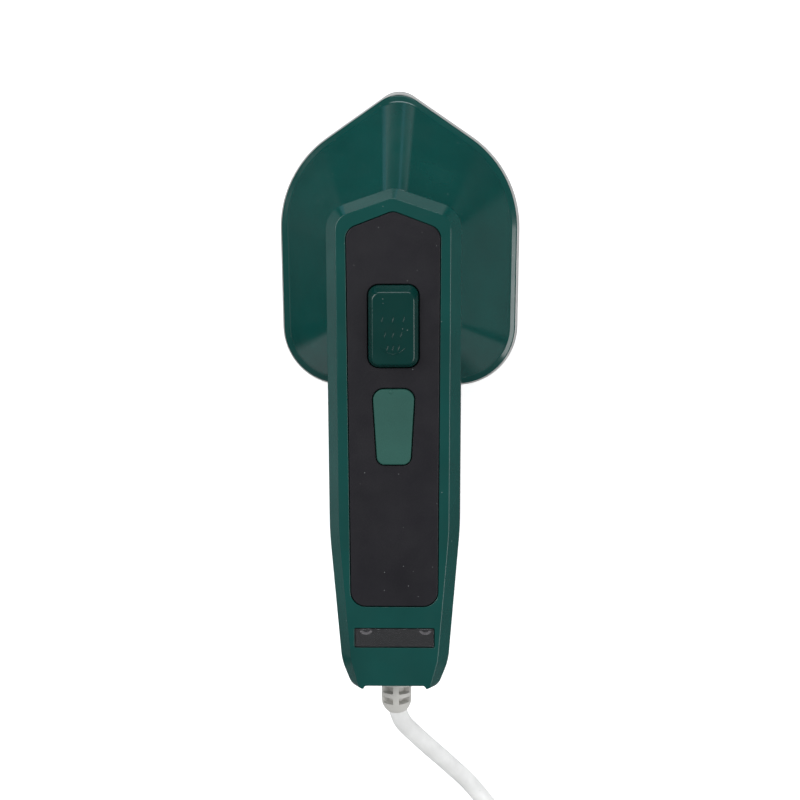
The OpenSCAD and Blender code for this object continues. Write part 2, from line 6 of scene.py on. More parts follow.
import json
import math

import bmesh
import bpy
from mathutils import Euler, Matrix, Vector


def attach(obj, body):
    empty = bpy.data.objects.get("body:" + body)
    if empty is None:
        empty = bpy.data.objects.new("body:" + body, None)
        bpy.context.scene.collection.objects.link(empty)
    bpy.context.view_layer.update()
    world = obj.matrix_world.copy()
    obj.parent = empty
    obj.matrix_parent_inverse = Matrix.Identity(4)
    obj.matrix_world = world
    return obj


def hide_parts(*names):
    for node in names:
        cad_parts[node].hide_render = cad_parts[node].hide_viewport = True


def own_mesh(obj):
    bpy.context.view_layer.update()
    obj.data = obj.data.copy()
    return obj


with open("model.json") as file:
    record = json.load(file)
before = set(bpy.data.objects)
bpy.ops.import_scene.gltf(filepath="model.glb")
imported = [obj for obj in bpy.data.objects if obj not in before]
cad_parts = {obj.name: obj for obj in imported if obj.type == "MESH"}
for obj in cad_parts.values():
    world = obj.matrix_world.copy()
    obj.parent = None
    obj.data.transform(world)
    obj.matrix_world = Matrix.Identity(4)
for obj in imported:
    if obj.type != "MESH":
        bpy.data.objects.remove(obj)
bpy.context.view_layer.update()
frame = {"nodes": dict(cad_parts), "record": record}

MM = 0.001
HOUSING = "housing"
STEAM = "steam_button"
POWER = "power_button"
FILLER = "filler_plug"


# ---- Camera ----


def make_camera():
    """The camera looks down on the back of the object, and the handle is a little nearer to it."""
    data = bpy.data.cameras.new("camera")
    data.sensor_width = 36
    data.lens = 102.9
    camera = bpy.data.objects.new("camera", data)
    bpy.context.scene.collection.objects.link(camera)
    camera.location = (0.0316, 0.0071, 0.823)
    target = Vector((-0.0003, -0.0581, 0))
    back = (camera.location - target).normalized()
    right = Vector((0, 1, 0)).cross(back).normalized()
    up = back.cross(right)
    roll = Euler((0, 0, math.radians(-0.19))).to_matrix()
    camera.rotation_euler = (Matrix((right, up, back)).transposed() @ roll).to_euler()
    data.clip_start = 0.01
    bpy.context.scene.camera = camera


# ---- Outlines and lofts ----

SMALLEST_R = 0.4


def corner_arc(before, corner, after, radius, steps):
    """Points of the arc that rounds one corner of an outline."""
    to_before = (before - corner).normalized()
    to_after = (after - corner).normalized()
    half = to_before.angle(to_after) / 2
    centre = corner + (to_before + to_after).normalized() * (radius / math.sin(half))
    start = (corner + to_before * (radius / math.tan(half)) - centre).normalized()
    end = (corner + to_after * (radius / math.tan(half)) - centre).normalized()
    turn = math.pi - 2 * half
    points = []
    for i in range(steps + 1):
        a = math.sin(turn * (1 - i / steps)) / math.sin(turn)
        b = math.sin(turn * i / steps) / math.sin(turn)
        points.append(centre + (start * a + end * b) * radius)
    return points


def moved_in(points, inset):
    """The corners of a convex outline moved inwards by inset."""
    corners = [Vector(p) for p in points]
    moved = []
    for i, corner in enumerate(corners):
        to_before = (corners[i - 1] - corner).normalized()
        to_after = (corners[(i + 1) % len(corners)] - corner).normalized()
        half = to_before.angle(to_after) / 2
        moved.append(corner + (to_before + to_after).normalized() * (inset / math.sin(half)))
    return moved


def outline(points, radii, inset=0.0, steps=12, keep_radii=False):
    """A convex outline moved inwards by inset, with each corner rounded to its radius.

    The radii shrink as the outline moves in, down to SMALLEST_R, unless they are kept.
    """
    moved = moved_in(points, inset)
    count = len(moved)
    rounded = []
    for i in range(count):
        radius = radii[i] if keep_radii else max(radii[i] - inset, SMALLEST_R)
        rounded += corner_arc(moved[i - 1], moved[i], moved[(i + 1) % count], radius, steps)
    return rounded


def circle_points(centre, radius, steps=48):
    """Points of a circle in the XY plane, going round like the outlines do."""
    turn = 2 * math.pi / steps
    return [Vector((centre[0] + radius * math.cos(turn * i),
                    centre[1] - radius * math.sin(turn * i))) for i in range(steps)]


def link(name, mesh):
    piece = bpy.data.objects.new(name, mesh)
    bpy.context.scene.collection.objects.link(piece)
    return piece


def built(name, bm):
    """Turns a bmesh into a piece of the scene, with its faces outwards."""
    bmesh.ops.recalc_face_normals(bm, faces=bm.faces)
    mesh = bpy.data.meshes.new(name)
    bm.to_mesh(mesh)
    bm.free()
    return link(name, mesh)


def joined(pieces):
    """Adds the meshes of the other pieces to the first one's, and removes the others."""
    first = pieces[0]
    bm = bmesh.new()
    for piece in pieces:
        bm.from_mesh(piece.data)
    bm.to_mesh(first.data)
    bm.free()
    for piece in pieces[1:]:
        bpy.data.objects.remove(piece)
    return first


def loft_3d(name, rings, ends=(True, True)):
    """A mesh through rings of 3D points in millimetres, closed at its ends where ends says so."""
    bm = bmesh.new()
    rows = [[bm.verts.new(Vector(p) * MM) for p in ring] for ring in rings]
    count = len(rows[0])
    for low, high in zip(rows, rows[1:]):
        for i in range(count):
            j = (i + 1) % count
            bm.faces.new((low[i], low[j], high[j], high[i]))
    if ends[0]:
        bm.faces.new(rows[0])
    if ends[1]:
        bm.faces.new(rows[-1])
    return built(name, bm)


def loft(name, rings):
    """A closed mesh through (outline, z) rings."""
    return loft_3d(name, [[(p.x, p.y, z) for p in points] for points, z in rings])


def prism(name, points, low, high):
    return loft(name, [(points, low), (points, high)])


def lathe(name, profile, centre, steps=64, axis="Z"):
    """A closed turned shape: profile lists (radius, height) from one end to the other."""
    rings = []
    for radius, height in profile:
        ring = []
        for i in range(steps):
            angle = 2 * math.pi * i / steps
            u, v = radius * math.cos(angle), radius * math.sin(angle)
            offset = {"Z": (u, v, height), "-X": (-height, u, v), "Y": (u, height, v)}[axis]
            ring.append(Vector(centre) + Vector(offset))
        rings.append(ring)
    return loft_3d(name, rings)


def combine(piece, other, operation):
    """Cuts other out of piece, or joins it on, and removes other."""
    modifier = piece.modifiers.new("combine", "BOOLEAN")
    modifier.operation = operation
    modifier.solver = "EXACT"
    modifier.object = other
    graph = bpy.context.evaluated_depsgraph_get()
    mesh = bpy.data.meshes.new_from_object(piece.evaluated_get(graph))
    if not mesh.polygons:
        raise RuntimeError(f"{operation} with {other.name} left nothing of {piece.name}")
    piece.modifiers.clear()
    piece.data = mesh
    bpy.data.objects.remove(other)


def cut(piece, *cutters):
    for cutter in cutters:
        combine(piece, cutter, "DIFFERENCE")


def add(piece, *others):
    for other in others:
        combine(piece, other, "UNION")


def soften(piece, width=0.3, angle=25, segments=3):
    """Rounds the edges sharper than angle, and shades the piece smooth."""
    bevel = piece.modifiers.new("edges", "BEVEL")
    bevel.width = width * MM
    bevel.segments = segments
    bevel.limit_method = "ANGLE"
    bevel.angle_limit = math.radians(angle)
    bevel.use_clamp_overlap = True
    bevel.harden_normals = False
    piece.data.shade_smooth()
    normals = piece.modifiers.new("normals", "WEIGHTED_NORMAL")
    normals.keep_sharp = True
    normals.weight = 80


def smooth_only(piece, angle=40):
    """Shades smooth, with edges sharper than angle kept."""
    piece.data.shade_smooth()
    piece.data.set_sharp_from_angle(angle=math.radians(angle))


# ---- Materials ----

MATERIALS = {}


class Shader:
    """A material with its Principled shader and a few node helpers."""

    def __init__(self, name, colour, roughness, metallic=0.0):
        self.material = bpy.data.materials.new(name)
        self.material.use_nodes = True
        self.tree = self.material.node_tree
        self.bsdf = self.tree.nodes["Principled BSDF"]
        self.bsdf.inputs["Base Color"].default_value = (*colour, 1)
        self.bsdf.inputs["Roughness"].default_value = roughness
        self.bsdf.inputs["Metallic"].default_value = metallic
        self.place = self.tree.nodes.new("ShaderNodeTexCoord").outputs["Object"]
        MATERIALS[name] = self.material

    def wire(self, output, socket):
        self.tree.links.new(output, socket)

    def mapped(self, scale, turn=(0, 0, 0)):
        node = self.tree.nodes.new("ShaderNodeMapping")
        node.inputs["Scale"].default_value = scale
        node.inputs["Rotation"].default_value = turn
        self.wire(self.place, node.inputs["Vector"])
        return node.outputs["Vector"]

    def noise(self, scale, detail=3.0, vector=None):
        node = self.tree.nodes.new("ShaderNodeTexNoise")
        node.inputs["Scale"].default_value = scale
        node.inputs["Detail"].default_value = detail
        self.wire(vector or self.place, node.inputs["Vector"])
        return node.outputs["Fac"]

    def ranged(self, value, low, high, to_low, to_high):
        node = self.tree.nodes.new("ShaderNodeMapRange")
        node.inputs["From Min"].default_value = low
        node.inputs["From Max"].default_value = high
        node.inputs["To Min"].default_value = to_low
        node.inputs["To Max"].default_value = to_high
        self.wire(value, node.inputs["Value"])
        return node.outputs["Result"]

    def maths(self, operation, a, b):
        node = self.tree.nodes.new("ShaderNodeMath")
        node.operation = operation
        node.use_clamp = True
        for socket, value in zip(node.inputs, (a, b)):
            if isinstance(value, (int, float)):
                socket.default_value = value
            else:
                self.wire(value, socket)
        return node.outputs["Value"]

    def mixed(self, factor, first, second):
        node = self.tree.nodes.new("ShaderNodeMix")
        node.data_type = "RGBA"
        self.wire(factor, node.inputs["Factor"])
        for socket, value in ((node.inputs[6], first), (node.inputs[7], second)):
            if isinstance(value, tuple):
                socket.default_value = (*value, 1)
            else:
                self.wire(value, socket)
        return node.outputs[2]

    def specks(self, scale, size, share):
        """Tiny dots: one in some cells of a cell pattern."""
        node = self.tree.nodes.new("ShaderNodeTexVoronoi")
        node.inputs["Scale"].default_value = scale
        self.wire(self.place, node.inputs["Vector"])
        split = self.tree.nodes.new("ShaderNodeSeparateColor")
        self.wire(node.outputs["Color"], split.inputs["Color"])
        chosen = self.maths("GREATER_THAN", split.outputs["Red"], 1 - share)
        dot = self.ranged(node.outputs["Distance"], size * 0.5, size, 1, 0)
        return self.maths("MULTIPLY", chosen, dot)

    def colour(self, output):
        self.wire(output, self.bsdf.inputs["Base Color"])

    def roughness(self, output):
        self.wire(output, self.bsdf.inputs["Roughness"])

    def bump(self, height, depth):
        """Adds a bump of the given depth in millimetres over any before it."""
        node = self.tree.nodes.new("ShaderNodeBump")
        node.inputs["Strength"].default_value = 1
        node.inputs["Distance"].default_value = depth * MM
        self.wire(height, node.inputs["Height"])
        before = self.bsdf.inputs["Normal"]
        if before.is_linked:
            self.wire(before.links[0].from_socket, node.inputs["Normal"])
        self.wire(node.outputs["Normal"], before)


def shade_of(colour, factor):
    return tuple(min(c * factor, 1) for c in colour)


def plastic(name, colour, roughness, spread, grain, dust, specular=0.5, coat=0.0):
    """Moulded plastic: faint clouding, fine grain, dust specks and hairline scratches."""
    shader = Shader(name, colour, roughness)
    shader.bsdf.inputs["Specular IOR Level"].default_value = specular
    shader.bsdf.inputs["Coat Weight"].default_value = coat
    shader.bsdf.inputs["Coat Roughness"].default_value = 0.12
    clouds = shader.ranged(shader.noise(55, 4), 0.3, 0.7, 0, 1)
    body = shader.mixed(clouds, shade_of(colour, 0.9), shade_of(colour, 1.1))
    specks = shader.specks(620, 0.1, dust)
    dusted = shader.mixed(shader.maths("MULTIPLY", specks, 0.35), body, (0.55, 0.58, 0.57))
    shader.colour(dusted)
    scratches = shader.noise(60, 2, shader.mapped((1, 26, 1), (0, 0, 0.7)))
    hairlines = shader.ranged(scratches, 0.7, 0.74, 0, 1)
    rough = shader.ranged(shader.noise(120, 3), 0.3, 0.7, roughness - spread, roughness + spread)
    shader.roughness(shader.maths("ADD", rough, shader.maths("MULTIPLY", hairlines, 0.06)))
    shader.bump(shader.noise(grain[0], 2), grain[1])
    shader.bump(hairlines, 0.0015)
    return shader


def metal(name, colour, roughness, stretch=(1, 1, 30), metallic=1.0):
    """Metal with fine drawn lines and slight tarnish."""
    shader = Shader(name, colour, roughness, metallic)
    lines = shader.noise(700, 3, shader.mapped(stretch))
    tarnish = shader.ranged(shader.noise(90, 4), 0.35, 0.75, 0, 1)
    shader.colour(shader.mixed(tarnish, colour, shade_of(colour, 0.84)))
    shader.roughness(shader.ranged(lines, 0.2, 0.8, roughness * 0.7, roughness * 1.35))
    shader.bump(lines, 0.006)


def soft_plastic(name, colour, roughness):
    """Soft PVC or silicone: an uneven skin with faint smudges and dust."""
    shader = Shader(name, colour, roughness)
    smudges = shader.ranged(shader.noise(140, 4), 0.35, 0.7, 0, 1)
    body = shader.mixed(smudges, colour, shade_of(colour, 0.86))
    specks = shader.specks(420, 0.1, 0.05)
    shader.colour(shader.mixed(shader.maths("MULTIPLY", specks, 0.4), body, (0.25, 0.25, 0.24)))
    shader.roughness(
        shader.ranged(shader.noise(260, 3), 0.3, 0.7, roughness - 0.07, roughness + 0.09))
    shader.bump(shader.noise(900, 3), 0.03)
    shader.bump(shader.noise(90, 2), 0.12)


def see_through(name, colour, roughness, transmission):
    """Clear or smoked moulding with a little haze and dust."""
    shader = Shader(name, colour, roughness)
    shader.bsdf.inputs["Transmission Weight"].default_value = transmission
    shader.bsdf.inputs["IOR"].default_value = 1.49
    haze = shader.ranged(shader.noise(160, 4), 0.3, 0.75, 0, 1)
    specks = shader.specks(500, 0.1, 0.08)
    body = shader.mixed(haze, colour, shade_of(colour, 0.85))
    shader.colour(shader.mixed(shader.maths("MULTIPLY", specks, 0.3), body, (0.6, 0.6, 0.6)))
    shader.roughness(shader.ranged(shader.noise(300, 3), 0.3, 0.7, roughness, roughness + 0.08))
    shader.bump(shader.noise(400, 2), 0.01)


def board_material():
    """A green circuit board with copper traces."""
    shader = Shader("board", (0.01, 0.09, 0.04), 0.35)
    tracks = shader.ranged(shader.noise(400, 0, shader.mapped((1, 0.2, 1))), 0.49, 0.51, 0, 1)
    shader.colour(shader.mixed(tracks, (0.008, 0.07, 0.03), (0.02, 0.15, 0.06)))
    shader.roughness(shader.ranged(shader.noise(500, 2), 0.3, 0.7, 0.28, 0.42))
    shader.bump(tracks, 0.03)


def make_materials():
    plastic("green_gloss", (0.0014, 0.045, 0.039), 0.17, 0.04, (1500, 0.005), 0.06, 0.5, 0.35)
    plastic("green_key", (0.0004, 0.026, 0.022), 0.22, 0.04, (1500, 0.005), 0.07, 0.35, 0.15)
    plastic("green_matte", (0.014, 0.073, 0.058), 0.55, 0.05, (2600, 0.05), 0.06, 0.3)
    plastic("black_satin", (0.0088, 0.008, 0.011), 0.42, 0.05, (3200, 0.03), 0.1, 0.35)
    plastic("phenolic", (0.012, 0.012, 0.012), 0.6, 0.06, (1800, 0.05), 0.05, 0.4)
    plastic("white_plastic", (0.72, 0.72, 0.7), 0.42, 0.06, (1600, 0.03), 0.03)
    plastic("tie_black", (0.015, 0.015, 0.016), 0.5, 0.06, (1300, 0.05), 0.04)
    plastic("dark_recess", (0.006, 0.006, 0.007), 0.6, 0.05, (1300, 0.05), 0.03)
    # The LED reflector gets a painted glow: a faint emission that lightens the indicator window,
    # though the reflector is no lamp.
    reflector_painted_glow = plastic("reflector", (0.85, 0.83, 0.84), 0.25, 0.05, (1300, 0.02), 0.02)
    reflector_painted_glow.bsdf.inputs["Emission Color"].default_value = (1, 0.95, 0.98, 1)
    reflector_painted_glow.bsdf.inputs["Emission Strength"].default_value = 0.3
    metal("sole_metal", (0.47, 0.47, 0.46), 0.42, (1, 30, 1), 0.3)
    metal("steel", (0.55, 0.55, 0.54), 0.33)
    metal("pin_metal", (0.76, 0.74, 0.68), 0.2)
    soft_plastic("silicone", (0.62, 0.59, 0.52), 0.5)
    soft_plastic("dark_silicone", (0.012, 0.035, 0.03), 0.55)
    soft_plastic("wire", (0.42, 0.03, 0.025), 0.45)
    soft_plastic("relief_grey", (0.5, 0.49, 0.46), 0.5)
    soft_plastic("cord_white", (0.74, 0.74, 0.73), 0.42)
    see_through("tank_clear", (0.78, 0.84, 0.85), 0.08, 0.8)
    see_through("smoked_clear", (0.3, 0.3, 0.31), 0.05, 0.92)
    see_through("led", (0.85, 0.86, 0.85), 0.2, 0.3)
    board_material()


def dress(piece, material):
    """Gives a piece one material."""
    piece.data.materials.clear()
    piece.data.materials.append(MATERIALS[material])


def dress_frame():
    """Gives every CAD node the material that its slot in the record names."""
    for part in frame["record"]["subparts"]:
        for material_slot in frame["nodes"][part["node"]].material_slots:
            material_slot.material = MATERIALS[part["material_slot"]]


def settle(piece, body, slot, material=None, stands_for=()):
    """Dresses a piece, puts it on its body and hides the CAD nodes it stands for.

    The material has the slot's name unless another is given.
    """
    dress(piece, material or slot)
    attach(piece, body)
    if stands_for:
        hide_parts(*stands_for)
    return piece


# ---- Cord, coil, tie and plug ----

CORD_D = 6.2
CORD_R = CORD_D / 2
LEAD_ROUTE = [
    (-0.1, -158.3, 43.6), (0.1, -161.5, 42.5), (0.8, -164.5, 41), (1.8, -167.1, 39.1),
    (3.1, -169.3, 36.8), (6, -173.2, 32.3), (9, -177.1, 27.9), (12, -180.9, 23.5),
    (15.2, -184.8, 19), (18.2, -188.7, 14.5), (21.1, -192.4, 10.1), (22.7, -194.4, 8),
    (24.4, -196.6, 6.3), (26.2, -199, 4.9), (28.1, -201.5, 3.9), (30.1, -204.2, 3.3),
    (32.1, -206.8, 3.1), (35.3, -211.3, 3.1), (38.5, -215.9, 3.3), (41.6, -220.3, 3.6),
    (44.7, -224.8, 3.9)
]
TAIL_ROUTE = [
    (8, -293.8, 10.1), (3, -293.8, 9.9), (-2, -293.8, 9.5), (-7, -293.8, 8.9),
    (-12, -293.8, 8.2), (-17, -293.8, 7.6), (-21, -293.8, 7.2), (-28, -293.8, 7)
]
COIL_AT = (8, -249.5)
COIL_TURNS = 6.344
COIL_R = 34.5
COIL_LOW_Z = 3.9
COIL_HIGH_Z = 10.1
COIL_START = 34
TIE_T = 0.8
TIE_HALF = 2
TIE_CORNER_R = 2.4
TIE_ANGLE = 150
PLUG_AT = (-26, -293.8, 7)
PLUG_L = 28
PIN_PROFILE = [
    (1.9, -2), (1.9, 9.4), (1.98, 9.5), (2, 9.6), (2, 17.4), (1.8, 18.2), (1.3, 18.8), (0.6, 19)
]
PIN_SPACING = 19


def through(points, parts=4):
    """A smooth line through given points."""
    vectors = [Vector(p) for p in points]
    ends = [2 * vectors[0] - vectors[1]] + vectors + [2 * vectors[-1] - vectors[-2]]
    line = []
    for i in range(len(vectors) - 1):
        a, b, c, d = ends[i:i + 4]
        for k in range(parts):
            t = k / parts
            line.append(0.5 * (2 * b + (c - a) * t + (2 * a - 5 * b + 4 * c - d) * t ** 2
                               + (3 * b - a - 3 * c + d) * t ** 3))
    return line + [vectors[-1]]


def coil_line():
    """The coil: inwards in the lower layer, then outwards in the layer on top of it."""
    half = COIL_TURNS / 2
    outer = COIL_R + half * CORD_D / 2
    inner = COIL_R - half * CORD_D / 2
    steps = round(COIL_TURNS * 48)
    points = []
    for i in range(1, steps):
        turns = COIL_TURNS * i / steps
        radius = outer - CORD_D * turns if turns < half else inner + CORD_D * (turns - half)
        rise = min(max((turns - half + 0.2) / 0.4, 0), 1)
        rise = rise * rise * (3 - 2 * rise)
        angle = math.radians(COIL_START - 360 * turns)
        points.append(Vector((
            COIL_AT[0] + radius * math.cos(angle),
            COIL_AT[1] + radius * math.sin(angle),
            COIL_LOW_Z + (COIL_HIGH_Z - COIL_LOW_Z) * rise)))
    return points


def make_cord():
    line = through(LEAD_ROUTE) + coil_line() + through(TAIL_ROUTE)
    data = bpy.data.curves.new("mains_cord", "CURVE")
    data.dimensions = "3D"
    spline = data.splines.new("POLY")
    spline.points.add(len(line) - 1)
    for point, place in zip(spline.points, line):
        point.co = (*(place * MM), 1)
        point.radius = 1
    spline.use_smooth = True
    data.bevel_depth = CORD_R * MM
    data.bevel_resolution = 7
    data.use_fill_caps = True
    cord = link("mains_cord", data)
    return settle(cord, HOUSING, "cord_white", stands_for=("cord_lead", "cord_coil", "cord_tail"))


def make_tie():
    """A flat band round the coil's turns."""
    half = COIL_TURNS / 2
    low = COIL_R - half * CORD_D / 2 - CORD_R
    high = COIL_R + half * CORD_D / 2 + CORD_R
    top = 2 * CORD_D + TIE_T
    corners = [(low, TIE_T), (high, TIE_T), (high, top), (low, top)]
    outer = outline(corners, [TIE_CORNER_R] * 4, -TIE_T + 0.05, 8)
    inner = outline(corners, [TIE_CORNER_R] * 4, 0.05, 8)
    turn = math.radians(TIE_ANGLE)
    along = Vector((math.cos(turn), math.sin(turn), 0))
    across = Vector((-math.sin(turn), math.cos(turn), 0))
    centre = Vector((*COIL_AT, 0))

    def placed(points, side):
        return [centre + along * p.x + across * side + Vector((0, 0, p.y)) for p in points]

    section = ((inner, -1), (outer, -1), (outer, 1), (inner, 1), (inner, -1))
    rings = [placed(points, side * TIE_HALF) for points, side in section]
    tie = loft_3d("coil_tie", rings, (False, False))
    bm = bmesh.new()
    bm.from_mesh(tie.data)
    bmesh.ops.remove_doubles(bm, verts=bm.verts, dist=1e-7)
    bmesh.ops.recalc_face_normals(bm, faces=bm.faces)
    bm.to_mesh(tie.data)
    bm.free()
    soften(tie, 0.2, 30, 2)
    return settle(tie, HOUSING, "tie_black", stands_for=("cord_tie",))


def rounded_section(half_w, half_h, power, steps=48):
    """A superellipse, as (across, up) points."""
    points = []
    for i in range(steps):
        angle = 2 * math.pi * i / steps
        c, s = math.cos(angle), math.sin(angle)
        points.append((math.copysign(abs(c) ** (2 / power), c) * half_w,
                       math.copysign(abs(s) ** (2 / power), s) * half_h))
    return points


def make_plug():
    """A flat two-pin plug with a ribbed neck and grip grooves."""
    # each station: distance from the cord's end, half width, half height, squareness
    stations = [(0, 4.2, 4.2, 2.2), (0.6, 4.7, 4.6, 2.2)]
    for rib in range(4):
        at = 1.4 + 1.5 * rib
        grow = 0.35 * rib
        for width, height, steps in ((4.9, 4.7, (0, 0.5)), (4.4, 4.2, (0.75, 1.25))):
            stations += [(at + step, width + grow, height + grow * 0.5, 2.3) for step in steps]
    stations += [(7.6, 6.6, 5.4, 2.6), (9, 9, 6.1, 3), (10.6, 11.6, 6.6, 3.6),
                 (12.2, 13.2, 6.9, 4.2)]
    for groove in range(5):
        at = 13 + 2 * groove
        stations += [(at, 13.5, 6.95, 4.6), (at + 0.9, 13.5, 6.95, 4.6),
                     (at + 1.15, 13.05, 6.6, 4.6), (at + 1.65, 13.05, 6.6, 4.6)]
    stations += [(23.4, 13.7, 7, 4.8), (26.6, 13.7, 7, 4.8), (27.5, 13.5, 6.8, 4.8),
                 (PLUG_L, 12.9, 6.2, 4.8)]
    rings = [[Vector(PLUG_AT) + Vector((-at, u, v)) for u, v in rounded_section(w, h, power)]
             for at, w, h, power in stations]
    plug = loft_3d("mains_plug", rings)
    smooth_only(plug, 50)
    settle(plug, HOUSING, "white_plastic", stands_for=("plug_body",))
    pins = joined([
        lathe("mains_pin_pair", PIN_PROFILE,
              Vector(PLUG_AT) + Vector((-PLUG_L, side * PIN_SPACING / 2, 0)), 32, "-X")
        for side in (-1, 1)
    ])
    smooth_only(pins, 35)
    settle(pins, HOUSING, "pin_metal", stands_for=("plug_pins",))
    return plug, pins


# ---- Head ----

SOLE_L = 104.6
SOLE_W = 86.2
FRONT_ANGLE = math.radians(34.8)
TIP_R = 9
TIP_Y = SOLE_L / 2 + TIP_R * (1 / math.cos(FRONT_ANGLE) - 1)
SHOULDER_Y = TIP_Y - SOLE_W / 2 * math.tan(FRONT_ANGLE)
REAR_X = SOLE_W / 2 - 1.5
HEAD_POINTS = [
    (0, TIP_Y), (SOLE_W / 2, SHOULDER_Y), (REAR_X, -SOLE_L / 2),
    (-REAR_X, -SOLE_L / 2), (-SOLE_W / 2, SHOULDER_Y)
]
HEAD_RADII = [TIP_R, 39, 21.5, 21.5, 39]
NECK_POINTS = [(0, 18.9), (20.8, 4.44), (20.3, -34), (-20.3, -34), (-20.8, 4.44)]
NECK_RADII = [8, 10, 8, 8, 10]
NECK_Z = 44
NECK_ROOM_REAR = -37.4
FACET_Z = 11.2
STEAM_HOLE_R = 1.3
STEAM_HOLE_STEP = 4
STEAM_HOLE_Y = 18


def head_outline(inset, steps=18):
    return outline(HEAD_POINTS, HEAD_RADII, inset, steps)


def shell_outline(inset, steps=18):
    """As head_outline, with the blunter tip of the green shell."""
    radii = [11] + [r - inset for r in HEAD_RADII[1:]]
    return outline(HEAD_POINTS, radii, inset, steps, keep_radii=True)


def make_soleplate():
    sole = loft("soleplate_cast", [
        (head_outline(1.5), 0), (head_outline(0.9), 0.12), (head_outline(0.35), 0.6),
        (head_outline(0), 1.5), (head_outline(0), 3.9), (head_outline(0.25), 4.6),
        (head_outline(0.7), 5)
    ])
    places = [(STEAM_HOLE_STEP * k, STEAM_HOLE_Y - 8 * row - 0.7 * abs(STEAM_HOLE_STEP * k))
              for row, reach in enumerate((3, 3, 2)) for k in range(-reach, reach + 1)]
    cut(sole, joined([prism("hole", circle_points(at, STEAM_HOLE_R, 24), -1, 3) for at in places]))
    soften(sole, 0.25, 35, 3)
    settle(sole, HOUSING, "sole_metal", stands_for=("soleplate",))


def make_head_shell():
    neck = outline(NECK_POINTS, NECK_RADII, 0, 18)
    inner_neck = outline(NECK_POINTS, NECK_RADII, 2, 18)
    rings = [
        (inner_neck, NECK_Z - 2), (shell_outline(5), FACET_Z - 1.2), (shell_outline(3.1), 9.4),
        (shell_outline(3.1), 7.1), (shell_outline(0.9), 7.1), (shell_outline(0.9), 10.2),
        (shell_outline(3), FACET_Z), (neck, NECK_Z)
    ]
    shell = loft("head_skin", rings)
    soften(shell, 0.45, 13, 4)
    settle(shell, HOUSING, "green_gloss", stands_for=("head_shell",))


# ---- Handle ----

GRIP_Z = 37
PARTING_Z = 50
TOP_Z = 62.7
CHAMFER_W = 3.5
LOWER_EDGE_R = 6.5
REAR_EDGE = 0.4
FRAME_CORNER_Z = 58.4
CEILING_Z = 59.7
WALL = 2
HANDLE_REAR = 151.3
HANDLE_POINTS = [
    (0, 17.7), (22.8, 10), (21.9, -98), (18, -142), (14.2, -HANDLE_REAR),
    (-14.2, -HANDLE_REAR), (-18, -142), (-21.9, -98), (-22.8, 10)
]
HANDLE_RADII = [7, 9, 120, 20, 5, 5, 20, 120, 9]
PANEL_POINTS = [(0, 9.6), (15.7, 3.6), (14.5, -122.7), (-14.5, -122.7), (-15.7, 3.6)]
PANEL_RADII = [4, 4.5, 5, 5, 4.5]
PANEL_T = 1.8
PANEL_GAP = 0.3
BUTTON_GAP = 0.35
STEAM_HALF = 8.35
STEAM_POINTS = [
    (STEAM_HALF, -14.8), (STEAM_HALF, -42.1), (-STEAM_HALF, -42.1), (-STEAM_HALF, -14.8)
]
STEAM_RADII = [3.4] * 4
STEAM_TOP_POINTS = [(7.2, -17.3), (7.2, -41.1), (-7.2, -41.1), (-7.2, -17.3)]
STEAM_TOP_RADII = [2.6] * 4
STEAM_TOP = 66.3
WISP_Z = STEAM_TOP - 0.08
POWER_POINTS = [(7.1, -49.5), (5.55, -74.8), (-5.55, -74.8), (-7.1, -49.5)]
POWER_RADII = [3.6, 2.6, 2.6, 3.6]
POWER_TOP = 63.4
FLANGE_TOP = TOP_Z - PANEL_T - 0.3
FLANGE_T = 1.1
WINDOW_Y = -133.5
WINDOW_SIZE = (26.4, 6.1)
REFLECTOR_SECTION = ((2.2, 1.7, 0), (2.2, 1.7, 1.1), (1.5, 1.1, 1.3), (1.4, 1, 0.1))
REFLECTOR_STEPS = 14
HANDLE_SCREWS = [(-12.6, -49.5), (12.6, -49.5), (-11, -141), (11, -141)]
FILLER_AT = (0, -88)
CORD_Z = 44.5
PUMP_AT = (0, -24)
SPRING_TURNS = 5
SPRING_LOW_Z = 49.6
SPRING_R = 4.3
SPRING_WIRE = 0.9
RECESS_X = 10.5
RECESS_Y = -149.9


def handle_outline(inset, steps=10):
    return outline(HANDLE_POINTS, HANDLE_RADII, inset, steps)


def box_points(x0, x1, y0, y1, radius=SMALLEST_R):
    return outline([(x1, y1), (x1, y0), (x0, y0), (x0, y1)], [radius] * 4, 0, 5, keep_radii=True)


def window_outline(grow, radius=0.6):
    half_x, half_y = WINDOW_SIZE[0] / 2 + grow, WINDOW_SIZE[1] / 2 + grow
    return box_points(-half_x, half_x, WINDOW_Y - half_y, WINDOW_Y + half_y, radius)


def rear_recess():
    notch = box_points(-RECESS_X, RECESS_X, -HANDLE_REAR - 5, RECESS_Y, 1)
    return prism("recess", notch, GRIP_Z - 5, TOP_Z + 5)


def handle_top_outline():
    """The top face: inside the chamfer at the sides and front, and flush at the rear end."""
    near_rear = 2 * CHAMFER_W - HANDLE_REAR
    corners = [Vector((p.x, REAR_EDGE - HANDLE_REAR)) if p.y < near_rear else p
               for p in moved_in(HANDLE_POINTS, CHAMFER_W)]
    radii = [max(r - CHAMFER_W, SMALLEST_R) for r in HANDLE_RADII]
    return outline(corners, radii, 0, 10, keep_radii=True)


